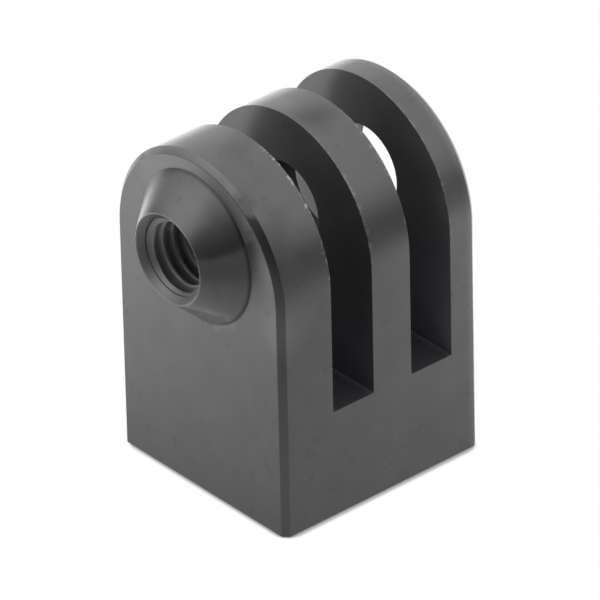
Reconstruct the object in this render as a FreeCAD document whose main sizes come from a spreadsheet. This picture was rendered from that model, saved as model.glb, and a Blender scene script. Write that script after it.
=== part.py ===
import FreeCAD, Part
import Sketcher
import math
import os

# Action camera mount base: one block milled from bar, with three rounded prongs,
# a conical boss tapped for the pivot screw and a tapped hole for the base screw.
# +X runs across the prongs from the boss side, -Y is the front, +Z is up,
# and the origin is the middle of the underside.

doc = FreeCAD.newDocument("MountBase")

# All sizes are in millimetres and degrees.
rows = [
    ("block_depth", 15.0, "front to back, also the diameter of the round prong ends"),
    ("ear_centre", 15.85, "height of the centre of the round prong ends"),
    ("boss_prong", 3.95, "thickness of the tapped prong"),
    ("middle_prong", 3.0, "thickness of the middle prong"),
    ("outer_prong", 2.15, "thickness of the outer prong"),
    ("slot_width", 3.2, "gap that takes a camera finger"),
    ("slot_floor", 7.4, "height of the slot floors above the underside"),
    ("side_chamfer", 0.4, "chamfer round the two outer profiles"),
    ("bottom_break", 0.15, "edge break round the underside"),
    ("pivot_rise", 1.4, "pivot axis above the centre of the round ends"),
    ("boss_height", 2.25, "boss above its prong"),
    ("boss_taper", 2.0, "how much the boss narrows in radius to its tip"),
    ("boss_rim", 0.05, "flat land round the mouth of the pivot thread"),
    ("boss_mouth", 0.4, "countersink outside the pivot thread"),
    ("pivot_thread", 2.5, "radius of the pivot screw thread"),
    ("pivot_clearance", 0.25, "play round the screw in the two plain prongs"),
    ("base_thread", 3.175, "radius of the base screw thread"),
    ("base_mouth", 0.35, "countersink outside the base thread"),
    ("base_roof", 0.5, "metal left between the drill point and the slot floors"),
    ("point_angle", 118.0, "angle of the drill point"),
]
sizes = doc.addObject("Spreadsheet::Sheet", "Sizes")
for number, (alias, value, note) in enumerate(rows, 1):
    sizes.set("A" + str(number), str(value))
    sizes.setAlias("A" + str(number), alias)
    sizes.set("B" + str(number), note)
doc.recompute()

# Lengths that follow from the sizes above.
blockWidth = "(Sizes.boss_prong + 2 * Sizes.slot_width + Sizes.middle_prong + Sizes.outer_prong)"
pivotHeight = "(Sizes.ear_centre + Sizes.pivot_rise)"
bossMouth = "(Sizes.pivot_thread + Sizes.boss_mouth)"
bossTip = "(" + bossMouth + " + Sizes.boss_rim)"
bossRoot = "(Sizes.boss_prong / 4)"
aboveTop = "(Sizes.ear_centre + Sizes.block_depth)"
pivotBoreRadius = "(Sizes.pivot_thread + Sizes.pivot_clearance)"
baseMouth = "(Sizes.base_thread + Sizes.base_mouth)"
pointHeight = "(Sizes.base_thread / tan(Sizes.point_angle * 1deg / 2))"


def valueOf(formula):
    return float(sizes.evalExpression(formula))


body = doc.addObject("PartDesign::Body", "MountBase")
body.Label = "mount_base"


def originPlane(role):
    for feature in body.Origin.OriginFeatures:
        if feature.Role == role:
            return feature
    raise RuntimeError("no plane " + role)


def addSketch(name, role, across="0", upward="0", outward="0"):
    # The sketch's own zero point is moved across and up on its plane, and out along its normal.
    sketch = body.newObject("Sketcher::SketchObject", name)
    sketch.AttachmentSupport = [(originPlane(role), "")]
    sketch.MapMode = "FlatFace"
    sketch.setExpression("AttachmentOffset.Base.x", across)
    sketch.setExpression("AttachmentOffset.Base.y", upward)
    sketch.setExpression("AttachmentOffset.Base.z", outward)
    doc.recompute()
    return sketch


def addLine(sketch, start, end):
    line = Part.LineSegment(FreeCAD.Vector(*start, 0), FreeCAD.Vector(*end, 0))
    return sketch.addGeometry(line, False)


def addLoop(sketch, points):
    lines = [addLine(sketch, a, b) for a, b in zip(points, points[1:] + points[:1])]
    for first, second in zip(lines, lines[1:] + lines[:1]):
        rule(sketch, "Coincident", first, 2, second, 1)
    return lines


def rule(sketch, *terms):
    return sketch.addConstraint(Sketcher.Constraint(*terms))


def drive(sketch, name, formula, kind, *terms):
    # A named dimension of the sketch that follows the sheet.
    number = rule(sketch, kind, *terms, valueOf(formula))
    sketch.renameConstraint(number, name)
    sketch.setExpression("Constraints." + name, formula)


def checkVolume(feature, before, grows):
    # A feature that ran the wrong way, or did nothing, stops the build.
    doc.recompute()
    volume = feature.Shape.Volume
    if grows != (volume > before) or abs(volume - before) < 1e-3:
        raise RuntimeError(feature.Name + " didn't change the block as it should")
    return volume


# Side outline: upright sides that run smoothly into a half round top.
outline = addSketch("SideOutline", "YZ_Plane", outward="-" + blockWidth + " / 2")
halfDepth = valueOf("Sizes.block_depth") / 2
earCentre = valueOf("Sizes.ear_centre")
bottomLine = addLine(outline, (-halfDepth, 0), (halfDepth, 0))
backLine = addLine(outline, (halfDepth, 0), (halfDepth, earCentre))
topCircle = Part.Circle(FreeCAD.Vector(0, earCentre, 0), FreeCAD.Vector(0, 0, 1), halfDepth)
topArc = outline.addGeometry(Part.ArcOfCircle(topCircle, 0, math.pi), False)
frontLine = addLine(outline, (-halfDepth, earCentre), (-halfDepth, 0))
rule(outline, "Coincident", bottomLine, 2, backLine, 1)
rule(outline, "Coincident", frontLine, 2, bottomLine, 1)
rule(outline, "Tangent", backLine, 2, topArc, 1)
rule(outline, "Tangent", topArc, 2, frontLine, 1)
rule(outline, "Vertical", backLine)
rule(outline, "Vertical", frontLine)
rule(outline, "Symmetric", bottomLine, 1, bottomLine, 2, -1, 1)
drive(outline, "depth", "Sizes.block_depth", "DistanceX", bottomLine, 1, bottomLine, 2)
drive(outline, "centreHeight", "Sizes.ear_centre", "DistanceY", -1, 1, topArc, 3)

block = body.newObject("PartDesign::Pad", "Block")
block.Profile = outline
block.setExpression("Length", blockWidth)
volume = checkVolume(block, 0.0, True)


def sideEdges(shape):
    # The edges of the two outer profiles, without those on the underside.
    names = []
    for number, edge in enumerate(shape.Edges, 1):
        box = edge.BoundBox
        if box.XLength < 1e-6 and box.ZMax > 1e-6:
            names.append("Edge" + str(number))
    return names


def undersideEdges(shape):
    return [
        "Edge" + str(number)
        for number, edge in enumerate(shape.Edges, 1)
        if abs(edge.BoundBox.ZMax) < 1e-6
    ]


sideChamfer = body.newObject("PartDesign::Chamfer", "SideChamfer")
sideChamfer.Base = (block, sideEdges(block.Shape))
sideChamfer.setExpression("Size", "Sizes.side_chamfer")
volume = checkVolume(sideChamfer, volume, False)

bottomBreak = body.newObject("PartDesign::Chamfer", "BottomBreak")
bottomBreak.Base = (sideChamfer, undersideEdges(sideChamfer.Shape))
bottomBreak.setExpression("Size", "Sizes.bottom_break")
volume = checkVolume(bottomBreak, volume, False)

# Boss: a truncated cone round the pivot axis, rooted a little way into its prong.
bossOutline = addSketch(
    "BossOutline", "XZ_Plane", across="-" + blockWidth + " / 2", upward=pivotHeight
)
tipOut = -valueOf("Sizes.boss_height")
tipRadius = valueOf(bossTip)
footRadius = tipRadius + valueOf("Sizes.boss_taper")
rootIn = valueOf(bossRoot)
rootLine, seatLine, coneLine, tipLine, axisLine = addLoop(
    bossOutline,
    [(rootIn, 0), (rootIn, footRadius), (0, footRadius), (tipOut, tipRadius), (tipOut, 0)],
)
rule(bossOutline, "Vertical", rootLine)
rule(bossOutline, "Horizontal", seatLine)
rule(bossOutline, "Vertical", tipLine)
rule(bossOutline, "PointOnObject", rootLine, 1, -1)
rule(bossOutline, "PointOnObject", tipLine, 2, -1)
rule(bossOutline, "PointOnObject", coneLine, 1, -2)
drive(bossOutline, "root", bossRoot, "DistanceX", -1, 1, rootLine, 1)
drive(bossOutline, "height", "Sizes.boss_height", "DistanceX", coneLine, 2, -1, 1)
drive(bossOutline, "tip", bossTip, "DistanceY", -1, 1, coneLine, 2)
drive(bossOutline, "taper", "Sizes.boss_taper", "DistanceY", coneLine, 2, coneLine, 1)

boss = body.newObject("PartDesign::Revolution", "Boss")
boss.Profile = bossOutline
boss.ReferenceAxis = (bossOutline, ["H_Axis"])
boss.Angle = 360.0
volume = checkVolume(boss, volume, True)

# Two equal slots, milled right through from front to back and open at the top.
slotOutline = addSketch("SlotOutline", "XZ_Plane", across="-" + blockWidth + " / 2")
slotStart = valueOf("Sizes.boss_prong")
slotEnd = slotStart + valueOf("Sizes.slot_width")
slotFloor = valueOf("Sizes.slot_floor")
slotTop = valueOf(aboveTop)
floorLine, farLine, openLine, nearLine = addLoop(
    slotOutline,
    [(slotStart, slotFloor), (slotEnd, slotFloor), (slotEnd, slotTop), (slotStart, slotTop)],
)
rule(slotOutline, "Horizontal", floorLine)
rule(slotOutline, "Horizontal", openLine)
rule(slotOutline, "Vertical", farLine)
rule(slotOutline, "Vertical", nearLine)
drive(slotOutline, "start", "Sizes.boss_prong", "DistanceX", -1, 1, floorLine, 1)
drive(slotOutline, "width", "Sizes.slot_width", "DistanceX", floorLine, 1, floorLine, 2)
drive(slotOutline, "floor", "Sizes.slot_floor", "DistanceY", -1, 1, floorLine, 1)
drive(slotOutline, "top", aboveTop, "DistanceY", -1, 1, openLine, 1)

slot = body.newObject("PartDesign::Pocket", "Slot")
slot.Profile = slotOutline
slot.Type = "ThroughAll"
slot.Midplane = True
volume = checkVolume(slot, volume, False)

slotPair = body.newObject("PartDesign::LinearPattern", "SlotPair")
slotPair.Originals = [slot]
slotPair.Direction = (slotOutline, ["H_Axis"])
slotPair.Occurrences = 2
slotPair.setExpression("Length", "Sizes.slot_width + Sizes.middle_prong")
body.Tip = slotPair
volume = checkVolume(slotPair, volume, False)


def addHole(name, role, radius, depth, upward, outward, alongNormal, mouth=None, pointed=False):
    # A drilled hole, with a 90 degree countersink where it has a mouth radius.
    centre = addSketch(name + "Centre", role, upward=upward, outward=outward)
    circle = Part.Circle(FreeCAD.Vector(), FreeCAD.Vector(0, 0, 1), valueOf(radius))
    ring = centre.addGeometry(circle, False)
    rule(centre, "Coincident", ring, 3, -1, 1)
    drive(centre, "radius", radius, "Radius", ring)
    hole = body.newObject("PartDesign::Hole", name)
    hole.Profile = centre
    doc.recompute()
    hole.Reversed = alongNormal
    hole.ThreadType = "None"
    hole.setExpression("Diameter", "2 * " + radius)
    hole.DepthType = "Dimension"
    hole.setExpression("Depth", depth)
    hole.DrillPoint = "Flat"
    if pointed:
        hole.DrillPoint = "Angled"
        hole.DrillForDepth = False
        hole.setExpression("DrillPointAngle", "Sizes.point_angle * 1deg")
    if mouth:
        hole.HoleCutType = "Countersink"
        hole.HoleCutCustomValues = True
        hole.HoleCutCountersinkAngle = 90.0
        hole.setExpression("HoleCutDiameter", "2 * " + mouth)
    return hole


# The pivot screw turns in the boss, so that prong is tapped, with a countersunk mouth.
pivotThread = addHole(
    "PivotThread",
    "YZ_Plane",
    radius="Sizes.pivot_thread",
    depth="Sizes.boss_height + Sizes.boss_prong + Sizes.slot_width / 2",
    upward=pivotHeight,
    outward="-" + blockWidth + " / 2 - Sizes.boss_height",
    alongNormal=True,
    mouth=bossMouth,
)
volume = checkVolume(pivotThread, volume, False)

# The middle and outer prongs are drilled with play round the screw.
pivotBore = addHole(
    "PivotBore",
    "YZ_Plane",
    radius=pivotBoreRadius,
    depth="Sizes.outer_prong + Sizes.middle_prong + Sizes.slot_width * 3 / 2",
    upward=pivotHeight,
    outward=blockWidth + " / 2",
    alongNormal=False,
)
volume = checkVolume(pivotBore, volume, False)

# The base screw comes up from the underside into a blind tapped hole.
baseThread = addHole(
    "BaseThread",
    "XY_Plane",
    radius="Sizes.base_thread",
    depth="Sizes.slot_floor - Sizes.base_roof - " + pointHeight,
    upward="0",
    outward="0",
    alongNormal=True,
    mouth=baseMouth,
    pointed=True,
)
volume = checkVolume(baseThread, volume, False)

body.Tip = baseThread
doc.recompute()

for item in doc.Objects:
    for word in ("Invalid", "Error"):
        if word in item.State:
            raise RuntimeError(item.Name + " is " + word)
shape = body.Shape
if shape.isNull() or not shape.isValid() or len(shape.Solids) != 1:
    raise RuntimeError("the block isn't one sound solid")

os.makedirs("parts", exist_ok=True)
shape.exportStep(os.path.join("parts", body.Label + ".step"))
box = shape.BoundBox
print("mount_base volume", round(shape.Volume, 2), "faces", len(shape.Faces))
print("x", round(box.XMin, 3), round(box.XMax, 3))
print("y", round(box.YMin, 3), round(box.YMax, 3))
print("z", round(box.ZMin, 3), round(box.ZMax, 3))
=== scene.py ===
import math
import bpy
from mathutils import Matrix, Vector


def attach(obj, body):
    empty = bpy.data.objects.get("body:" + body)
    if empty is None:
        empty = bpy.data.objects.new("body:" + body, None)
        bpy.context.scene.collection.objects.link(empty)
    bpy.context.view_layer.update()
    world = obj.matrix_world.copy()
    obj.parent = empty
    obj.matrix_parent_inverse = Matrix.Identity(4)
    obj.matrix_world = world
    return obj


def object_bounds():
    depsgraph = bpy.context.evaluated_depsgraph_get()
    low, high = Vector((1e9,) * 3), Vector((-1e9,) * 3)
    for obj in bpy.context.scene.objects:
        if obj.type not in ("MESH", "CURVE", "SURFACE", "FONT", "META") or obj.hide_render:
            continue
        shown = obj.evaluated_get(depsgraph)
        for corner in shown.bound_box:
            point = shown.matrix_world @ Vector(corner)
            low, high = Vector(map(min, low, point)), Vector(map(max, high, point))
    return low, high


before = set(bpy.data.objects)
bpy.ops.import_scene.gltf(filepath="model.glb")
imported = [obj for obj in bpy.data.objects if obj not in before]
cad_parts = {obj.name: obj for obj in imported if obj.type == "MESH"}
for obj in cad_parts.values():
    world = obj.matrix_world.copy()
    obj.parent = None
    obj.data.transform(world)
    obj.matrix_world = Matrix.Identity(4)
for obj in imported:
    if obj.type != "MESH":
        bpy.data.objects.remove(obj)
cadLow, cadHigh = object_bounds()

from types import SimpleNamespace
import bmesh
import bpy
from mathutils import Matrix, Vector

mm = 0.001
scene = bpy.context.scene
print("frame loaded")

# Sizes of the frame's solid in mm, from its box where that gives them
solid = {
    "side": round(cadHigh[0] / mm, 3),  # the flat outer faces, at this x either way
    "front": round(cadHigh[1] / mm, 3),
    "top": round(cadHigh[2] / mm, 3),
    "rim": round(cadLow[0] / mm, 3),  # plane of the boss's rim
    "pivot": 17.25,  # height of the pivot's axis
    "bossFoot": 4.93,  # radius where the boss meets the face
    "mouth": 2.9,  # radius of the countersink's rim
    "tapped": 2.5,
    "bore": 2.75,
    "baseHole": 3.55,  # radius and height that clear the hole in the underside
    "baseHoleTop": 7.0,
    "slotMiddle": 0.9,  # the slots lie slotAside to either side of this x
    "slotAside": 3.1,
    "slotHalf": 1.6,
    "slotFloor": 7.4,
    "chamfer": 0.4,
}
archHeight = solid["top"] - solid["front"]  # centre of the round prong ends
skin = 0.02  # a mask reaches this far past the surface that it picks
farAway = 100  # past any part of the block


def rgbFromHex(code):
    # sRGB hex to the linear values that shaders take.
    channels = [int(code[i : i + 2], 16) / 255 for i in (0, 2, 4)]
    linear = [c / 12.92 if c <= 0.04045 else ((c + 0.055) / 1.055) ** 2.4 for c in channels]
    return (*linear, 1.0)


def addNode(tree, kind, *pins, **named):
    # One node. Pins fill its live inputs in order. Named values are settings where the
    # name is in small letters, and inputs where it isn't. A value is a socket or plain.
    # Gives the node's first live output.
    node = tree.nodes.new(kind)
    for name, value in named.items():
        if name.islower():
            setattr(node, name, value)
    filled = list(zip([socket for socket in node.inputs if socket.enabled], pins))
    for name, value in named.items():
        if not name.islower():
            filled.append((node.inputs[name.replace("_", " ")], value))
    for socket, value in filled:
        if isinstance(value, bpy.types.NodeSocket):
            tree.links.new(value, socket)
        else:
            socket.default_value = value
    return next((socket for socket in node.outputs if socket.enabled), None)


def newMaterial(name):
    material = bpy.data.materials.new(name)
    material.use_nodes = True
    material.node_tree.nodes.clear()
    return material, material.node_tree


# Black anodised aluminium. A dyed oxide film lies over bead-blasted metal: dark grey,
# satin, with the metal's shine coming through and soft smudges from handling. Milled
# and tapped surfaces are duller, and worn edges show bare metal. Sizes are in mm, and
# a pair of numbers is a span over which something fades in.
anodised = {
    "colour": "666666",
    "metallic": 0.8,
    "milledMetallic": 0.42,
    "roughness": 0.22,
    "boredRoughness": 0.32,
    "slotRoughness": 0.2,
    "turnedRoughness": 0.2,
    "chamferRoughness": 0.36,
    "smudgeRoughness": 0.08,  # what a smudge adds
    "turnedSpread": 0.8,  # turned rings spread the shine along the boss's slope
    "coneStart": 0.03,  # depth below the rim
    "curveHeight": (13.5, 16.5),  # here the straight sides give way to the round ends
    "smudgeSize": 2.4,
}


def findPlaces(tree):
    # Where a point lies on the block: its place, its distances and its surface.
    inMetres = addNode(tree, "ShaderNodeTexCoord").node.outputs["Object"]
    place = addNode(tree, "ShaderNodeVectorMath", inMetres, 1 / mm, operation="SCALE")
    x, y, z = addNode(tree, "ShaderNodeSeparateXYZ", place).node.outputs
    at = SimpleNamespace(place=place, x=x, y=y, z=z)

    # Both slots are folded onto one, and measured from its middle.
    fromMiddle = addNode(tree, "ShaderNodeMath", x, solid["slotMiddle"], operation="SUBTRACT")
    folded = addNode(tree, "ShaderNodeMath", fromMiddle, operation="ABSOLUTE")
    fromSlot = addNode(tree, "ShaderNodeMath", folded, solid["slotAside"], operation="SUBTRACT")
    at.slotWay = addNode(tree, "ShaderNodeMath", fromSlot, operation="ABSOLUTE")
    slotEnd = solid["slotHalf"] + skin
    slotBand = addNode(tree, "ShaderNodeMath", at.slotWay, slotEnd, operation="LESS_THAN")
    floorLevel = solid["slotFloor"] - skin
    aboveFloor = addNode(tree, "ShaderNodeMath", z, floorLevel, operation="GREATER_THAN")
    at.inSlot = addNode(tree, "ShaderNodeMath", slotBand, aboveFloor, operation="MULTIPLY")

    # Distance from the pivot's axis, and the holes
    toAxis = (0, 0, -solid["pivot"])
    at.fromAxis = addNode(
        tree, "ShaderNodeVectorMath", place, (0, 1, 1), toAxis, operation="MULTIPLY_ADD"
    )
    at.fromPivot = addNode(tree, "ShaderNodeVectorMath", at.fromAxis, operation="LENGTH")
    mouthEnd = solid["mouth"] + skin / 2
    at.inPivot = addNode(tree, "ShaderNodeMath", at.fromPivot, mouthEnd, operation="LESS_THAN")
    flat = addNode(tree, "ShaderNodeVectorMath", place, (1, 1, 0), operation="MULTIPLY")
    fromBase = addNode(tree, "ShaderNodeVectorMath", flat, operation="LENGTH")
    nearBase = addNode(tree, "ShaderNodeMath", fromBase, solid["baseHole"], operation="LESS_THAN")
    low = addNode(tree, "ShaderNodeMath", z, solid["baseHoleTop"], operation="LESS_THAN")
    inBase = addNode(tree, "ShaderNodeMath", nearBase, low, operation="MULTIPLY")
    inHole = addNode(tree, "ShaderNodeMath", at.inPivot, inBase, operation="MAXIMUM")
    at.milled = addNode(tree, "ShaderNodeMath", at.inSlot, inHole, operation="MAXIMUM")

    # Distance out to the rounded outline, and the chamfers along it. Below the arch
    # only the distance to the middle plane counts.
    toArch = (0, 0, -archHeight)
    fromArch = addNode(
        tree, "ShaderNodeVectorMath", place, (0, 1, 1), toArch, operation="MULTIPLY_ADD"
    )
    aboveArch = addNode(
        tree, "ShaderNodeVectorMath", fromArch, (0, -farAway, 0), operation="MAXIMUM"
    )
    at.outline = addNode(tree, "ShaderNodeVectorMath", aboveArch, operation="LENGTH")
    sideways = addNode(tree, "ShaderNodeMath", x, operation="ABSOLUTE")
    sideEdge = solid["side"] - solid["chamfer"] + skin
    atSide = addNode(tree, "ShaderNodeMath", sideways, sideEdge, operation="GREATER_THAN")
    frontEdge = solid["front"] - solid["chamfer"] + skin
    atOutline = addNode(tree, "ShaderNodeMath", at.outline, frontEdge, operation="GREATER_THAN")
    at.onChamfer = addNode(tree, "ShaderNodeMath", atSide, atOutline, operation="MULTIPLY")
    at.curved = addNode(tree, "ShaderNodeMapRange", z, *anodised["curveHeight"])

    bossStart = -solid["side"] - skin
    at.onBoss = addNode(tree, "ShaderNodeMath", x, bossStart, operation="LESS_THAN")
    at.smudge = addNode(
        tree,
        "ShaderNodeTexNoise",
        Vector=place,
        Scale=1 / anodised["smudgeSize"],
        Detail=4.0,
        Roughness=0.6,
    )
    return at


# Profile chamfers. The cutter left the lower half of each curve rougher. Their tones are
# painted light and shade: a painted highlight at the top, a band of painted shade below
# it that fades back toward the foot, and the far side painted lighter. Tones are shares
# of the colour, and the far side is the one away from the boss.
chamferLightAndShade = {
    "bandTop": (21.2, 21.5),
    "bandFoot": (20.2, 17.0),
    # painted highlight at the top, painted shade in the band and below it, far side painted
    # lighter
    "topHighlight": 1.3,
    "bandShade": 0.5,
    "lowShade": 0.84,
    "farHighlight": 1.1,
}


def paintChamferLightAndShade(tree, at):
    # Painted highlight above the band, painted shade in the band and below it
    bandTop = addNode(tree, "ShaderNodeMapRange", at.z, *chamferLightAndShade["bandTop"])
    bandFoot = addNode(tree, "ShaderNodeMapRange", at.z, *chamferLightAndShade["bandFoot"])
    bandShade = chamferLightAndShade["bandShade"]
    high = addNode(
        tree, "ShaderNodeMapRange", bandTop, To_Min=bandShade, To_Max=chamferLightAndShade["topHighlight"]
    )
    low = addNode(
        tree, "ShaderNodeMapRange", bandFoot, To_Min=bandShade, To_Max=chamferLightAndShade["lowShade"]
    )
    near = addNode(tree, "ShaderNodeMath", high, low, operation="MAXIMUM")
    farSide = addNode(tree, "ShaderNodeMath", at.x, 0.0, operation="GREATER_THAN")
    tone = addNode(tree, "ShaderNodeMapRange", farSide, To_Min=near, To_Max=chamferLightAndShade["farHighlight"])
    return addNode(tree, "ShaderNodeMapRange", at.onChamfer, To_Min=1.0, To_Max=tone)


# Holes. In the tapped one the grooves carry painted shade low down and painted light
# above, and the crests are one tone all round. The plain bores behind it are dark.
holes = {
    "crestColour": "8a8a8c",
    # painted shade low in the grooves, painted light higher up
    "groovePaintedShade": "545456",
    "groovePaintedLight": "b6b6b8",
    "boreColour": "484848",
    "crest": (2.22, 2.12),  # radius
    "grooveHeight": (15.2, 17.4),
    "threadStart": (-9.5, -8.9),  # along x
    "threadEnd": -3.7,  # in the first slot, as the bores' start is
    "boreStart": -0.8,
    "boreSkin": 0.03,
}


def colourHoles(tree, at, base):
    onCrest = addNode(tree, "ShaderNodeMapRange", at.fromPivot, *holes["crest"])
    # Painted shade low in the grooves, painted light higher up
    upThread = addNode(tree, "ShaderNodeMapRange", at.z, *holes["grooveHeight"])
    grooveShaded = rgbFromHex(holes["groovePaintedShade"])
    grooveLit = rgbFromHex(holes["groovePaintedLight"])
    groove = addNode(tree, "ShaderNodeMix", upThread, grooveShaded, grooveLit, data_type="RGBA")
    crest = rgbFromHex(holes["crestColour"])
    thread = addNode(tree, "ShaderNodeMix", onCrest, groove, crest, data_type="RGBA")
    behindMouth = addNode(tree, "ShaderNodeMapRange", at.x, *holes["threadStart"])
    beforeSlot = addNode(tree, "ShaderNodeMath", at.x, holes["threadEnd"], operation="LESS_THAN")
    tapped = addNode(tree, "ShaderNodeMath", behindMouth, beforeSlot, operation="MULTIPLY")
    inThread = addNode(tree, "ShaderNodeMath", tapped, at.inPivot, operation="MULTIPLY")
    base = addNode(tree, "ShaderNodeMix", inThread, base, thread, data_type="RGBA")

    behindSlot = addNode(
        tree, "ShaderNodeMath", at.x, holes["boreStart"], operation="GREATER_THAN"
    )
    nearBore = addNode(
        tree,
        "ShaderNodeMath",
        at.fromPivot,
        solid["bore"],
        holes["boreSkin"],
        operation="COMPARE",
    )
    inBore = addNode(tree, "ShaderNodeMath", behindSlot, nearBore, operation="MULTIPLY")
    bored = rgbFromHex(holes["boreColour"])
    return addNode(tree, "ShaderNodeMix", inBore, base, bored, data_type="RGBA")


# Slots. They are milled: bluish walls, lighter low down than high up, painted shade on
# the floors, and a line of painted highlight along the foot of each wall. Painted shade
# darkens the first slot's wall toward the front.
slots = {
    "lowColour": "79787e",
    "highColour": "5a5a5c",
    # painted shade on the floors, painted highlight along the foot of each wall
    "floorShadeColour": "4d4c52",
    "footHighlightColour": "68676c",
    "wallHeight": (9.0, 19.0),
    "footHeight": (7.9, 7.4),
    "footAside": (1.2, 1.6),
    "frontShade": 0.5,
    "frontDepth": (-3.5, -7.4),
    "pastFirst": (0.0, 3.0),  # along x, so that the second slot keeps its tone
}


def colourAndShadeSlots(tree, at, base):
    upSlot = addNode(tree, "ShaderNodeMapRange", at.z, *slots["wallHeight"])
    low = rgbFromHex(slots["lowColour"])
    high = rgbFromHex(slots["highColour"])
    wall = addNode(tree, "ShaderNodeMix", upSlot, low, high, data_type="RGBA")
    # Painted shade toward the front of the first slot's wall
    first = addNode(
        tree, "ShaderNodeMapRange", at.x, *slots["pastFirst"], slots["frontShade"], 1.0
    )
    front = addNode(tree, "ShaderNodeMapRange", at.y, *slots["frontDepth"], 1.0, first)
    wall = addNode(tree, "ShaderNodeVectorMath", wall, front, operation="SCALE")
    # Painted shade on the slot floors
    floorLevel = solid["slotFloor"] + skin
    onFloor = addNode(tree, "ShaderNodeMath", at.z, floorLevel, operation="LESS_THAN")
    floorShadeColour = rgbFromHex(slots["floorShadeColour"])
    cut = addNode(tree, "ShaderNodeMix", onFloor, wall, floorShadeColour, data_type="RGBA")
    # Painted highlight along the foot of each wall
    foot = addNode(tree, "ShaderNodeMapRange", at.z, *slots["footHeight"])
    nearWall = addNode(tree, "ShaderNodeMapRange", at.slotWay, *slots["footAside"])
    footHighlightStrip = addNode(tree, "ShaderNodeMath", foot, nearWall, operation="MULTIPLY")
    footHighlightColour = rgbFromHex(slots["footHighlightColour"])
    lined = addNode(tree, "ShaderNodeMix", footHighlightStrip, cut, footHighlightColour, data_type="RGBA")
    return addNode(tree, "ShaderNodeMix", at.inSlot, base, lined, data_type="RGBA")


# Handling and painted light: smudges all over, small dark blotches, light specks, a
# painted highlight toward the outer side of the third prong, and marks that darken or
# lighten the tone round a point. A mark with a negative strength is painted light.
handlingAndPaintedLight = {
    "smudgeShown": (0.3, 0.7),  # span of the noise that shows, as for the others
    "smudgeTone": 0.12,  # how much a smudge changes the tone
    "blotchSize": 0.8,
    "blotchShown": (0.63, 0.74),
    "blotchTone": 0.16,
    "speckSize": 0.14,
    "speckShown": (0.84, 0.92),
    "speckTone": 1.8,
    # painted highlight toward the third prong's outer side
    "paintedHighlight": 0.4,
    "highlightEdge": (6.8, 7.4),
    "highlightEnd": 7.6,
    # marks that darken or lighten round a point; the lighter ones are painted light
    "marks": (
        {"place": (0.6, -1.1, 23.3), "reach": 1.9, "strength": 0.33},
        {"place": (-5.4, -0.9, 23.3), "reach": 2.0, "strength": 0.15},
        {"place": (-7.0, -6.2, 20.1), "reach": 2.6, "strength": 0.28},
        {"place": (-8.8, -2.0, 13.75), "reach": 1.7, "strength": -0.9},
        {"place": (-9.65, 1.0, 14.9), "reach": 2.0, "strength": -0.6},
        {"place": (6.2, -7.3, 17.8), "reach": 2.3, "strength": -0.4},
        {"place": (-7.5, -7.4, 14.4), "reach": 2.6, "strength": -0.35},
        {"place": (-8.4, -2.5, 20.9), "reach": 1.7, "strength": 0.3},
        {"place": (-7.5, -4.0, 22.0), "reach": 1.0, "strength": 0.3},
        {"place": (6.4, 0.4, 23.3), "reach": 2.0, "strength": -0.2},
        {"place": (0.3, 1.2, 23.3), "reach": 1.3, "strength": -0.15},
        {"place": (5.6, 5.3, 12.9), "reach": 4.5, "strength": 0.38},
    ),
}


def smudgeAndPaintedLightMark(tree, at, mark):
    # The smudges make its outline uneven.
    apart = addNode(tree, "ShaderNodeVectorMath", at.place, mark["place"], operation="DISTANCE")
    uneven = addNode(tree, "ShaderNodeMath", apart, at.smudge, operation="MULTIPLY")
    return addNode(
        tree,
        "ShaderNodeMapRange",
        uneven,
        interpolation_type="SMOOTHSTEP",
        From_Max=mark["reach"] / 2,
        To_Min=1 - mark["strength"],
        To_Max=1.0,
    )


def toneHandlingAndPaintedLight(tree, at):
    # Every layer is a tone, and they multiply.
    change = handlingAndPaintedLight["smudgeTone"] / 2
    tone = addNode(
        tree,
        "ShaderNodeMapRange",
        at.smudge,
        *handlingAndPaintedLight["smudgeShown"],
        1 - change,
        1 + change,
    )
    blotchNoise = addNode(
        tree,
        "ShaderNodeTexNoise",
        Vector=at.place,
        Scale=1 / handlingAndPaintedLight["blotchSize"],
        Detail=2.0,
        Roughness=0.6,
    )
    blotch = addNode(
        tree,
        "ShaderNodeMapRange",
        blotchNoise,
        *handlingAndPaintedLight["blotchShown"],
        1.0,
        1 - handlingAndPaintedLight["blotchTone"],
    )
    speckNoise = addNode(
        tree, "ShaderNodeTexNoise", Vector=at.place, Scale=1 / handlingAndPaintedLight["speckSize"], Detail=0.0
    )
    speck = addNode(
        tree,
        "ShaderNodeMapRange",
        speckNoise,
        *handlingAndPaintedLight["speckShown"],
        1.0,
        handlingAndPaintedLight["speckTone"],
    )
    # Painted highlight toward the outer side of the third prong
    towardEdge = addNode(
        tree,
        "ShaderNodeMapRange",
        at.x,
        *handlingAndPaintedLight["highlightEdge"],
        To_Max=handlingAndPaintedLight["paintedHighlight"],
        interpolation_type="SMOOTHSTEP",
    )
    insideFace = addNode(
        tree, "ShaderNodeMath", at.x, handlingAndPaintedLight["highlightEnd"], operation="LESS_THAN"
    )
    paintedHighlight = addNode(
        tree, "ShaderNodeMath", towardEdge, insideFace, 1.0, operation="MULTIPLY_ADD"
    )
    # Marks with a negative strength are painted light
    marks = [smudgeAndPaintedLightMark(tree, at, mark) for mark in handlingAndPaintedLight["marks"]]
    # The chamfers' painted light and shade is one of these layers
    for layer in (blotch, speck, paintChamferLightAndShade(tree, at), paintedHighlight, *marks):
        tone = addNode(tree, "ShaderNodeMath", tone, layer, operation="MULTIPLY")
    return tone


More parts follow.
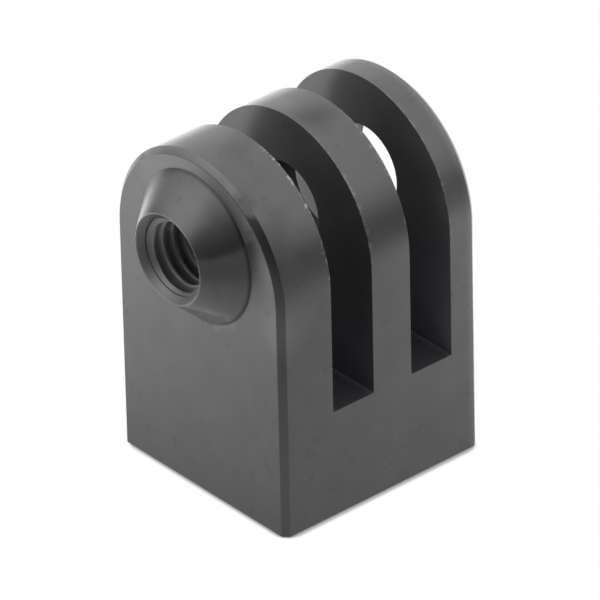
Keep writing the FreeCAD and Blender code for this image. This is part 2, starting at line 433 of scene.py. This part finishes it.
# Wear: nicks where the slots break through the outline, toward the front and most of
# all on the first prong. A lighter rim all round the boss is a painted highlight.
wearAndRimHighlight = {
    "bareMetalAndHighlight": "c4c4c2",
    "bandMiddle": 0.12,  # beyond the slot's wall
    "bandHalf": 0.18,
    "height": (14.5, 17.5),
    "edgeDepth": 0.07,
    "nicksPerMm": 1.8,
    "shown": (0.47, 0.55),
    "nickReach": (1.6, 1.9),  # from the slot's middle: the nicks thin out outwards
    "reachCut": 0.12,
    "depth": (-1.2, -2.2),  # along y
    "pastFirst": (-3.0, -1.0),  # along x
    "firstProng": 0.6,
    "otherProngs": 0.2,
    # painted highlight on the boss's rim
    "rimHighlightDepth": 0.04,
    "rim": 0.2,
}


def wearEdgesAndRimHighlight(tree, at, film):
    bandMiddle = solid["slotHalf"] + wearAndRimHighlight["bandMiddle"]
    band = addNode(
        tree, "ShaderNodeMath", at.slotWay, bandMiddle, wearAndRimHighlight["bandHalf"], operation="COMPARE"
    )
    onTop = addNode(tree, "ShaderNodeMapRange", at.z, *wearAndRimHighlight["height"])
    edgeStart = solid["front"] - wearAndRimHighlight["edgeDepth"]
    atEdge = addNode(tree, "ShaderNodeMath", at.outline, edgeStart, operation="GREATER_THAN")
    nickNoise = addNode(
        tree,
        "ShaderNodeTexNoise",
        Vector=at.place,
        Scale=wearAndRimHighlight["nicksPerMm"],
        Detail=5.0,
        Roughness=0.8,
    )
    nickReach = addNode(
        tree, "ShaderNodeMapRange", at.slotWay, *wearAndRimHighlight["nickReach"], To_Max=wearAndRimHighlight["reachCut"]
    )
    nickDepth = addNode(tree, "ShaderNodeMath", nickNoise, nickReach, operation="SUBTRACT")
    nick = addNode(tree, "ShaderNodeMapRange", nickDepth, *wearAndRimHighlight["shown"])
    toFront = addNode(tree, "ShaderNodeMapRange", at.y, *wearAndRimHighlight["depth"])
    byProng = addNode(
        tree,
        "ShaderNodeMapRange",
        at.x,
        *wearAndRimHighlight["pastFirst"],
        wearAndRimHighlight["firstProng"],
        wearAndRimHighlight["otherProngs"],
    )
    nicked = band
    for share in (onTop, atEdge, nick, toFront, byProng):
        nicked = addNode(tree, "ShaderNodeMath", nicked, share, operation="MULTIPLY")

    # Painted highlight: a share of the bare metal's colour all round the boss's rim
    rimEnd = solid["rim"] + wearAndRimHighlight["rimHighlightDepth"]
    atRim = addNode(tree, "ShaderNodeMath", at.x, rimEnd, operation="LESS_THAN")
    rimHighlight = addNode(tree, "ShaderNodeMath", atRim, wearAndRimHighlight["rim"], operation="MULTIPLY")
    wornAndLit = addNode(tree, "ShaderNodeMath", nicked, rimHighlight, operation="MAXIMUM")
    bareAndLit = rgbFromHex(wearAndRimHighlight["bareMetalAndHighlight"])
    return addNode(tree, "ShaderNodeMix", wornAndLit, film, bareAndLit, data_type="RGBA")


# Painted shade: a dark line in the corner round the boss's foot, most of all toward -Y,
# a patch of painted shade on the face beside the boss, and a fainter painted line of
# shade on the step inside its mouth
paintedShade = {
    "colour": "404042",
    "footLine": (0.03, 0.16),  # distance from the corner
    "footDepth": 0.2,
    "footSide": (-3.0, 3.0),  # along y
    "footLeast": 0.25,
    "patch": 0.75,
    "patchToward": (0, -0.82, 0.57),
    "patchWidth": (0.45, 0.95),  # cosine of the angle round the boss
    "patchReach": (5.2, 6.9),
    "patchDepth": 0.04,
    "mouthLine": 0.45,
    "mouthHalf": 0.045,
    "mouthStep": -9.57,  # along x
    "mouthDepth": 0.05,
    "mouthHeight": (15.8, 17.2),
}


def paintShade(tree, at, film):
    # Painted shade in the corner round the boss's foot
    fromFoot = addNode(
        tree, "ShaderNodeMath", at.fromPivot, solid["bossFoot"], operation="SUBTRACT"
    )
    footWay = addNode(tree, "ShaderNodeMath", fromFoot, operation="ABSOLUTE")
    footRing = addNode(tree, "ShaderNodeMapRange", footWay, *paintedShade["footLine"], 1.0, 0.0)
    face = -solid["side"]
    footPlane = addNode(
        tree, "ShaderNodeMath", at.x, face, paintedShade["footDepth"], operation="COMPARE"
    )
    footLine = addNode(tree, "ShaderNodeMath", footRing, footPlane, operation="MULTIPLY")
    bySide = addNode(
        tree, "ShaderNodeMapRange", at.y, *paintedShade["footSide"], 1.0, paintedShade["footLeast"]
    )
    paintedFootLine = addNode(tree, "ShaderNodeMath", footLine, bySide, operation="MULTIPLY")

    # Painted shade on the face beside the boss, standing in for the boss's dark side mirrored
    # there
    aside = addNode(tree, "ShaderNodeVectorMath", at.fromAxis, operation="NORMALIZE")
    toward = addNode(
        tree, "ShaderNodeVectorMath", aside, paintedShade["patchToward"], operation="DOT_PRODUCT"
    )
    patchSide = addNode(
        tree,
        "ShaderNodeMapRange",
        toward,
        *paintedShade["patchWidth"],
        To_Max=paintedShade["patch"],
        interpolation_type="SMOOTHSTEP",
    )
    patchReach = addNode(
        tree,
        "ShaderNodeMapRange",
        at.fromPivot,
        *paintedShade["patchReach"],
        1.0,
        0.0,
        interpolation_type="SMOOTHSTEP",
    )
    onFace = addNode(
        tree, "ShaderNodeMath", at.x, face, paintedShade["patchDepth"], operation="COMPARE"
    )
    patch = addNode(tree, "ShaderNodeMath", patchSide, patchReach, operation="MULTIPLY")
    patch = addNode(tree, "ShaderNodeMath", patch, onFace, operation="MULTIPLY")

    # Painted shade on the step inside the mouth
    mouthRing = addNode(
        tree,
        "ShaderNodeMath",
        at.fromPivot,
        solid["tapped"],
        paintedShade["mouthHalf"],
        operation="COMPARE",
    )
    mouthPlane = addNode(
        tree, "ShaderNodeMath", at.x, paintedShade["mouthStep"], paintedShade["mouthDepth"], operation="COMPARE"
    )
    mouthLine = addNode(tree, "ShaderNodeMath", mouthRing, mouthPlane, operation="MULTIPLY")
    upMouth = addNode(
        tree, "ShaderNodeMapRange", at.z, *paintedShade["mouthHeight"], To_Max=paintedShade["mouthLine"]
    )
    paintedMouthLine = addNode(tree, "ShaderNodeMath", mouthLine, upMouth, operation="MULTIPLY")

    share = addNode(tree, "ShaderNodeMath", paintedFootLine, patch, operation="MAXIMUM")
    share = addNode(tree, "ShaderNodeMath", share, paintedMouthLine, operation="MAXIMUM")
    return addNode(
        tree, "ShaderNodeMix", share, film, rgbFromHex(paintedShade["colour"]), data_type="RGBA"
    )


def findRoughness(tree, at):
    # Each way of cutting leaves its own shine, and a smudge dulls it.
    smooth = addNode(
        tree,
        "ShaderNodeMapRange",
        at.onBoss,
        To_Min=anodised["roughness"],
        To_Max=anodised["turnedRoughness"],
    )
    cut = addNode(
        tree,
        "ShaderNodeMapRange",
        at.inSlot,
        To_Min=anodised["boredRoughness"],
        To_Max=anodised["slotRoughness"],
    )
    dull = addNode(tree, "ShaderNodeMapRange", at.milled, To_Min=smooth, To_Max=cut)
    roughCurve = addNode(tree, "ShaderNodeMath", at.onChamfer, at.curved, operation="MULTIPLY")
    rough = addNode(
        tree,
        "ShaderNodeMapRange",
        roughCurve,
        To_Min=dull,
        To_Max=anodised["chamferRoughness"],
    )
    return addNode(
        tree,
        "ShaderNodeMath",
        at.smudge,
        anodised["smudgeRoughness"],
        rough,
        operation="MULTIPLY_ADD",
    )


# Relief: blasted grain, rings on the turned boss, cutter marks on the curved chamfers
relief = {
    "grain": 0.09,  # blasted grain is near 0.05, drawn coarser so that it shows
    "grainDepth": 0.0006,
    "ringPitch": 0.16,  # rings left by the lathe, finer in the real one
    "ringDepth": 0.0004,
    "chatter": 0.13,
    "chatterDepth": 0.012,
}


def findRelief(tree, at):
    grain = addNode(
        tree, "ShaderNodeTexNoise", Vector=at.place, Scale=1 / relief["grain"], Detail=1.0
    )
    grained = addNode(
        tree,
        "ShaderNodeBump",
        Strength=1.0,
        Distance=relief["grainDepth"] * mm,
        Height=grain,
    )
    turn = math.tau / relief["ringPitch"]
    phase = addNode(tree, "ShaderNodeMath", at.x, turn, operation="MULTIPLY")
    rings = addNode(tree, "ShaderNodeMath", phase, operation="SINE")
    turned = addNode(tree, "ShaderNodeMath", rings, at.onBoss, operation="MULTIPLY")
    ringed = addNode(
        tree,
        "ShaderNodeBump",
        Strength=1.0,
        Distance=relief["ringDepth"] * mm,
        Height=turned,
        Normal=grained,
    )
    chatterNoise = addNode(
        tree, "ShaderNodeTexNoise", Vector=at.place, Scale=1 / relief["chatter"], Detail=3.0
    )
    onCurve = addNode(tree, "ShaderNodeMath", at.curved, at.onChamfer, operation="MULTIPLY")
    chatter = addNode(tree, "ShaderNodeMath", chatterNoise, onCurve, operation="MULTIPLY")
    return addNode(
        tree,
        "ShaderNodeBump",
        Strength=1.0,
        Distance=relief["chatterDepth"] * mm,
        Height=chatter,
        Normal=ringed,
    )


def makeAnodised():
    material, tree = newMaterial("blackAnodisedAluminium")
    at = findPlaces(tree)
    base = colourHoles(tree, at, rgbFromHex(anodised["colour"]))
    base = colourAndShadeSlots(tree, at, base)
    film = addNode(
        tree, "ShaderNodeVectorMath", base, toneHandlingAndPaintedLight(tree, at), operation="SCALE"
    )
    film = wearEdgesAndRimHighlight(tree, at, film)
    film = paintShade(tree, at, film)
    metallic = addNode(
        tree,
        "ShaderNodeMapRange",
        at.milled,
        To_Min=anodised["metallic"],
        To_Max=anodised["milledMetallic"],
    )
    coneStart = solid["rim"] + anodised["coneStart"]
    belowRim = addNode(tree, "ShaderNodeMath", at.x, coneStart, operation="GREATER_THAN")
    onCone = addNode(tree, "ShaderNodeMath", at.onBoss, belowRim, operation="MULTIPLY")
    spread = addNode(
        tree, "ShaderNodeMath", onCone, anodised["turnedSpread"], operation="MULTIPLY"
    )
    shader = addNode(
        tree,
        "ShaderNodeBsdfPrincipled",
        Base_Color=film,
        Metallic=metallic,
        Roughness=findRoughness(tree, at),
        Anisotropic=spread,
        Tangent=(1, 0, 0),
        Normal=findRelief(tree, at),
    )
    addNode(tree, "ShaderNodeOutputMaterial", Surface=shader)
    return material


anodisedMaterial = makeAnodised()
print("black anodised aluminium mixed")

# Block: the frame's own solid, with its sharp edges broken
block = {
    "weld": 0.0001 * mm,
    "edgeBreak": 0.025 * mm,
    "edgeSegments": 2,
    "edgeAngle": 25,
}


def dressBlock():
    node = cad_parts["mount_base"]
    for slot in node.material_slots:
        slot.material = anodisedMaterial
    weld = node.modifiers.new("joinFaces", "WELD")
    weld.merge_threshold = block["weld"]
    edge = node.modifiers.new("edgeBreak", "BEVEL")
    edge.width = block["edgeBreak"]
    edge.segments = block["edgeSegments"]
    edge.limit_method = "ANGLE"
    edge.angle_limit = math.radians(block["edgeAngle"])
    edge.use_clamp_overlap = True
    edge.harden_normals = False
    # Broad faces keep their own normals, so that the curved bands shade evenly.
    even = node.modifiers.new("evenShading", "WEIGHTED_NORMAL")
    even.mode = "FACE_AREA_WITH_ANGLE"
    even.weight = 100
    even.keep_sharp = False


dressBlock()
print("block dressed")

# Threads. Each is a helical ridge that stands on the wall of its hole.
# Radii run from the ridge's foot, sunk a little in the wall, to its crest.
pivotThread = {
    "foot": 2.53 * mm,
    "crest": 2.1 * mm,
    "footHalf": 0.28 * mm,
    "crestHalf": 0.06 * mm,
    "pitch": 0.8 * mm,
    "crestAt": -8.48 * mm,  # where the crest passes over +Y
    "from": -9.53 * mm,
    "to": -3.81 * mm,
    "mouth": solid["rim"] * mm,
    "mouthRadius": solid["mouth"] * mm,
}
baseThread = {
    "foot": 3.205 * mm,
    "crest": 2.52 * mm,
    "footHalf": 0.58 * mm,
    "crestHalf": 0.16 * mm,
    "pitch": 1.27 * mm,
    "crestAt": 0.6 * mm,
    "from": 0.33 * mm,
    "to": 4.98 * mm,
    "mouth": 0.0,
    "mouthRadius": 3.525 * mm,
}
threadSteps = 64  # in one turn
flankSteps = 5  # points down each flank of the ridge
sharpThread = 25  # degrees, past which an edge of the ridge stays sharp
touching = 0.000001 * mm  # closer than this, a point lies in the cutting plane


def makeThread(name, size, turn):
    # The profile spins round Z, and the turn matrix lays Z along the hole.
    form = bmesh.new()
    corners = (
        (size["foot"], -size["footHalf"]),
        (size["crest"], -size["crestHalf"]),
        (size["crest"], size["crestHalf"]),
        (size["foot"], size["footHalf"]),
    )
    begin = size["crestAt"]
    while begin > size["from"] - size["pitch"]:
        begin -= size["pitch"]
    turns = math.ceil((size["to"] + size["pitch"] - begin) / size["pitch"])
    ring = [form.verts.new((radius, 0, begin + along)) for radius, along in corners]
    profile = form.faces.new(ring)
    flanks = [profile.edges[0], profile.edges[2]]
    bmesh.ops.subdivide_edges(form, edges=flanks, cuts=flankSteps)
    bmesh.ops.spin(
        form,
        geom=form.verts[:] + form.edges[:] + form.faces[:],
        cent=(0, 0, 0),
        axis=(0, 0, 1),
        dvec=(0, 0, size["pitch"] / threadSteps),
        angle=math.tau * turns,
        steps=threadSteps * turns,
        use_merge=False,
    )
    for height, side in ((size["from"], -1), (size["to"], 1)):
        geometry = form.verts[:] + form.edges[:] + form.faces[:]
        bmesh.ops.bisect_plane(
            form,
            geom=geometry,
            dist=touching,
            plane_co=(0, 0, height),
            plane_no=(0, 0, side),
            clear_outer=True,
        )
        rim = [edge for edge in form.edges if edge.is_boundary]
        bmesh.ops.triangle_fill(form, use_beauty=True, edges=rim)
    # The countersink cuts the first turn away along its cone.
    for vert in form.verts:
        radius = math.hypot(vert.co.x, vert.co.y)
        cone = size["mouthRadius"] - (vert.co.z - size["mouth"])
        if radius < cone:
            vert.co.x *= cone / radius
            vert.co.y *= cone / radius
    bmesh.ops.transform(form, matrix=turn, verts=form.verts)
    bmesh.ops.recalc_face_normals(form, faces=form.faces)
    mesh = bpy.data.meshes.new(name)
    form.to_mesh(mesh)
    form.free()
    mesh.shade_smooth()
    mesh.set_sharp_from_angle(angle=math.radians(sharpThread))
    mesh.materials.append(anodisedMaterial)
    piece = bpy.data.objects.new(name, mesh)
    scene.collection.objects.link(piece)
    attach(piece, "root")


# The pivot's axis lies along X. Its Z, X and Y become X, Y and Z.
pivotUp = solid["pivot"] * mm
alongPivot = Matrix(((0, 0, 1, 0), (1, 0, 0, 0), (0, 1, 0, pivotUp), (0, 0, 0, 1)))
makeThread("pivot_thread_ridge", pivotThread, alongPivot)
makeThread("base_thread_ridge", baseThread, Matrix.Identity(4))
print("threads cut")

# Floor: white paper. The camera sees it white, with a thin shade where the part
# stands. To the metal it glows with painted light, bright behind the part, with a
# painted shadow close to its foot, and dim on the camera's side. Three round spots of
# painted light glow on it round the part.
floor = {
    "half": 1500 * mm,
    "gap": 0.02 * mm,  # keeps it clear of the part's flat underside
    "paper": "f2f2f2",
    "brightSide": 30,  # azimuth clockwise from +Y
    "dim": 0.31,
    "bright": 1.44,
    "dimFrom": -44.7 * mm,
    "brightFrom": 21.2 * mm,
    # painted shadow of the part on the glowing paper
    "paintedFootShadow": 0.42,  # how much the part darkens the paper at its foot
    "footReach": 12 * mm,
    # round spots of painted light on the paper
    "glowSpots": (
        {"place": (46 * mm, -27 * mm, 0), "reach": 20 * mm, "strength": 0.6},
        {"place": (-38 * mm, 46 * mm, 0), "reach": 22 * mm, "strength": 0.4},
        {"place": (12 * mm, 66 * mm, 0), "reach": 28 * mm, "strength": 1.2},
    ),
    "seenWhite": 0.985,
    "contact": 0.3 * mm,  # width of the thin shade
    "contactWhite": 0.2,
    "contactShift": 0.1 * mm,  # the shade lies a little toward +X
    "cornerRound": 1.1 * mm,  # and stops short of the part's corners
}


def distanceOutside(tree, place):
    # Distance outside the part's outline, on the floor
    shift = (floor["contactShift"], 0, 0)
    shifted = addNode(tree, "ShaderNodeVectorMath", place, shift, operation="SUBTRACT")
    reach = addNode(tree, "ShaderNodeVectorMath", shifted, operation="ABSOLUTE")
    cornerRound = floor["cornerRound"]
    inner = (solid["side"] * mm - cornerRound, solid["front"] * mm - cornerRound, 0)
    beyond = addNode(tree, "ShaderNodeVectorMath", reach, inner, operation="SUBTRACT")
    outside = addNode(tree, "ShaderNodeVectorMath", beyond, (0, 0, 0), operation="MAXIMUM")
    rounded = addNode(tree, "ShaderNodeVectorMath", outside, operation="LENGTH")
    return addNode(tree, "ShaderNodeMath", rounded, cornerRound, operation="SUBTRACT")


def paintedLightOnPaper(tree, place, gap):
    # How bright the paper's painted glow is to the metal
    toBack = math.radians(floor["brightSide"])
    backward = (math.sin(toBack), math.cos(toBack), 0)
    along = addNode(tree, "ShaderNodeVectorMath", place, backward, operation="DOT_PRODUCT")
    fall = addNode(
        tree,
        "ShaderNodeMapRange",
        along,
        floor["dimFrom"],
        floor["brightFrom"],
        floor["dim"],
        floor["bright"],
        interpolation_type="SMOOTHSTEP",
    )
    # A painted shadow of the part on the paper round it, less and less with the distance.
    away = addNode(tree, "ShaderNodeMath", gap, -floor["footReach"], operation="DIVIDE")
    shade = addNode(tree, "ShaderNodeMath", away, operation="EXPONENT")
    foot = addNode(
        tree, "ShaderNodeMath", shade, -floor["paintedFootShadow"], 1.0, operation="MULTIPLY_ADD"
    )
    tone = addNode(tree, "ShaderNodeMath", fall, foot, operation="MULTIPLY")
    # Spots of painted light
    for glowSpot in floor["glowSpots"]:
        away = addNode(tree, "ShaderNodeVectorMath", place, glowSpot["place"], operation="DISTANCE")
        inReach = addNode(tree, "ShaderNodeMath", away, glowSpot["reach"], operation="DIVIDE")
        square = addNode(tree, "ShaderNodeMath", inReach, inReach, operation="MULTIPLY")
        lessening = addNode(tree, "ShaderNodeMath", square, -1.0, operation="MULTIPLY")
        soft = addNode(tree, "ShaderNodeMath", lessening, operation="EXPONENT")
        tone = addNode(
            tree, "ShaderNodeMath", soft, glowSpot["strength"], tone, operation="MULTIPLY_ADD"
        )
    return tone


def makePaper():
    material, tree = newMaterial("whitePaperFloor")
    place = addNode(tree, "ShaderNodeTexCoord").node.outputs["Object"]
    gap = distanceOutside(tree, place)
    # For all but camera rays the paper glows with painted light
    glowingPaper = addNode(
        tree,
        "ShaderNodeEmission",
        Color=rgbFromHex("ffffff"),
        Strength=paintedLightOnPaper(tree, place, gap),
    )
    whiteShare = addNode(
        tree,
        "ShaderNodeMapRange",
        gap,
        From_Max=floor["contact"],
        To_Min=floor["contactWhite"],
        To_Max=floor["seenWhite"],
        interpolation_type="SMOOTHSTEP",
    )
    paper = addNode(tree, "ShaderNodeBsdfDiffuse", Color=rgbFromHex(floor["paper"]))
    white = addNode(tree, "ShaderNodeEmission", Color=rgbFromHex("ffffff"), Strength=1.0)
    seenPaper = addNode(tree, "ShaderNodeMixShader", whiteShare, paper, white)
    fromCamera = addNode(tree, "ShaderNodeLightPath").node.outputs["Is Camera Ray"]
    surface = addNode(tree, "ShaderNodeMixShader", fromCamera, glowingPaper, seenPaper)
    addNode(tree, "ShaderNodeOutputMaterial", Surface=surface)
    return material


def makeFloor():
    mesh = bpy.data.meshes.new("studioFloor")
    form = bmesh.new()
    bmesh.ops.create_grid(
        form,
        x_segments=1,
        y_segments=1,
        size=floor["half"],
        matrix=Matrix.Translation((0, 0, -floor["gap"])),
    )
    form.to_mesh(mesh)
    form.free()
    mesh.materials.append(makePaper())
    piece = bpy.data.objects.new("studioFloor", mesh)
    scene.collection.objects.link(piece)


makeFloor()
print("floor laid")

# Camera, at the photograph's angle. Its azimuth is counted from -Y toward +X, and the
# angles are in degrees.
view = {
    "azimuth": -40.371,
    "elevation": 32.034,
    "roll": -1.342,
    "distance": 579.0 * mm,
    "lens": 581.76,  # in mm, as the sensor's width is
    "sensor": 36,
    "nearest": 10 * mm,  # closer things aren't seen
    "target": Vector((-0.6455, -0.9647, 10.9159)) * mm,
}


def makeCamera():
    azimuth = math.radians(view["azimuth"])
    elevation = math.radians(view["elevation"])
    roll = math.radians(view["roll"])
    back = Vector(
        (
            math.sin(azimuth) * math.cos(elevation),
            -math.cos(azimuth) * math.cos(elevation),
            math.sin(elevation),
        )
    )
    right = Vector((math.cos(azimuth), math.sin(azimuth), 0))
    up = back.cross(right)
    across = math.cos(roll) * right + math.sin(roll) * up
    upward = math.cos(roll) * up - math.sin(roll) * right
    lens = bpy.data.cameras.new("camera")
    lens.lens = view["lens"]
    lens.sensor_width = view["sensor"]
    lens.clip_start = view["nearest"]
    camera = bpy.data.objects.new("camera", lens)
    scene.collection.objects.link(camera)
    place = Matrix((across, upward, back)).transposed().to_4x4()
    place.translation = view["target"] + back * view["distance"]
    camera.matrix_world = place
    scene.camera = camera


makeCamera()
print("camera placed")

# Light: a soft tent all round. It is bright overhead and at the back, and dim at its
# open side, where the camera looks in. Directions are azimuth clockwise from +Y and
# height above the floor, in degrees.
tent = {
    "low": 0.24,  # strength at the floor's edge
    "high": 1.10,  # strength overhead
    "overhead": 0.605,  # height, as a sine, where the full strength is reached
}
openSide = {"azimuth": -138, "height": 15, "inner": 22, "outer": 48, "depth": 0.9}
backPanel = {"azimuth": 15, "height": 10, "spread": 24.0, "strength": 2.3}
leftPanel = {"azimuth": -65, "height": 50, "spread": 6.0, "strength": 0.36}


def nearness(tree, toward, area):
    # Cosine of the angle from the middle of an area of the tent
    azimuth = math.radians(area["azimuth"])
    height = math.radians(area["height"])
    middle = (
        math.sin(azimuth) * math.cos(height),
        math.cos(azimuth) * math.cos(height),
        math.sin(height),
    )
    return addNode(tree, "ShaderNodeVectorMath", toward, middle, operation="DOT_PRODUCT")


def softPanel(tree, toward, area):
    # A round panel: 1 in its middle, times its strength
    near = nearness(tree, toward, area)
    spread = area["spread"]
    falloff = addNode(tree, "ShaderNodeMath", near, spread, -spread, operation="MULTIPLY_ADD")
    soft = addNode(tree, "ShaderNodeMath", falloff, operation="EXPONENT")
    return addNode(tree, "ShaderNodeMath", soft, area["strength"], operation="MULTIPLY")


def makeTent():
    world = bpy.data.worlds.new("studio")
    world.use_nodes = True
    tree = world.node_tree
    tree.nodes.clear()
    toward = addNode(tree, "ShaderNodeTexCoord").node.outputs["Generated"]
    height = addNode(tree, "ShaderNodeSeparateXYZ", toward).node.outputs["Z"]
    overhead = addNode(
        tree,
        "ShaderNodeMapRange",
        height,
        0.0,
        tent["overhead"],
        tent["low"],
        tent["high"],
        interpolation_type="SMOOTHSTEP",
    )
    nearOpening = nearness(tree, toward, openSide)
    fromOpening = addNode(tree, "ShaderNodeMath", nearOpening, operation="ARCCOSINE")
    cover = addNode(
        tree,
        "ShaderNodeMapRange",
        fromOpening,
        math.radians(openSide["inner"]),
        math.radians(openSide["outer"]),
        1 - openSide["depth"],
        interpolation_type="SMOOTHSTEP",
    )
    tented = addNode(tree, "ShaderNodeMath", overhead, cover, operation="MULTIPLY")
    back = softPanel(tree, toward, backPanel)
    left = softPanel(tree, toward, leftPanel)
    panels = addNode(tree, "ShaderNodeMath", back, left, operation="ADD")
    light = addNode(tree, "ShaderNodeMath", tented, panels, operation="ADD")
    surround = addNode(tree, "ShaderNodeBackground", Color=rgbFromHex("ffffff"), Strength=light)
    backdrop = addNode(tree, "ShaderNodeBackground", Color=rgbFromHex("ffffff"), Strength=1.0)
    fromCamera = addNode(tree, "ShaderNodeLightPath").node.outputs["Is Camera Ray"]
    seen = addNode(tree, "ShaderNodeMixShader", fromCamera, surround, backdrop)
    addNode(tree, "ShaderNodeOutputWorld", Surface=seen)
    scene.world = world


makeTent()
print("tent set")

scene.view_settings.view_transform = "Standard"
